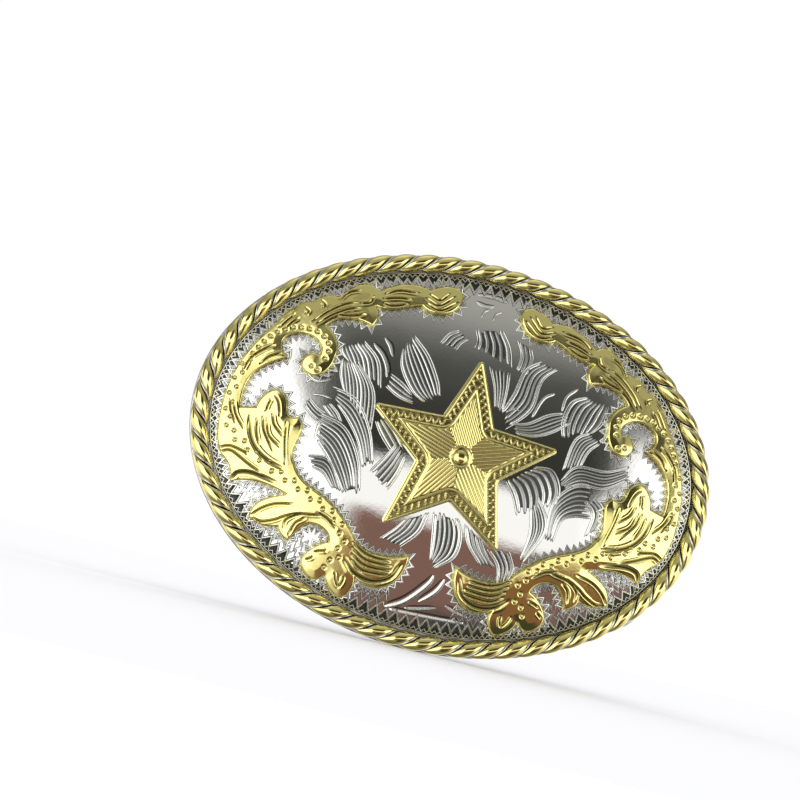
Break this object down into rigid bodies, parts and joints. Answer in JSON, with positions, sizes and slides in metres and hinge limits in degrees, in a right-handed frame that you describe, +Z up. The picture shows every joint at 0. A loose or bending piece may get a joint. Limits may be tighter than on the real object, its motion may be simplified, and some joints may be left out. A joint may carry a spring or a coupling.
{
  "type": "belt buckle",
  "caption": "Oval domed dress belt buckle with a rope edge, engraved face, leaf-scroll overlays and a star badge; swinging strap bail and fixed prong on the back.",
  "frame": {"origin": "centre of the oval on the rear face of the base plate", "axes": "+X along the long axis, towards the bail end; +Y out of the back, towards the wearer; +Z up, along the short axis. The decorated face looks along -Y."},
  "size_m": [0.096, 0.0192, 0.071],
  "materials": {
    "backing_plate": "satin silver plate",
    "silver_face": "bright silver plate, engraved",
    "gilt": "bright gilt",
    "hardware": "satin nickel plate",
    "bail_wire": "polished nickel plate"
  },
  "bodies": {
    "buckle": {"base_plate": "backing_plate", "rope_edge": "gilt", "face_plate": "silver_face", "scroll_left": "gilt", "scroll_right": "gilt", "star_badge": "gilt", "bail_bracket": "hardware", "bracket_rivets": "hardware", "prong_base": "hardware", "prong_rivets": "hardware", "prong": "hardware"},
    "bail": {"bail_loop": "bail_wire"}
  },
  "joints": [
    {"name": "bail_hinge", "type": "hinge", "parent": "buckle", "child": "bail", "pos_m": [0.022, 0.0036, 0], "axis": [0, 0, 1], "range_deg": [-5, 185]}
  ]
}
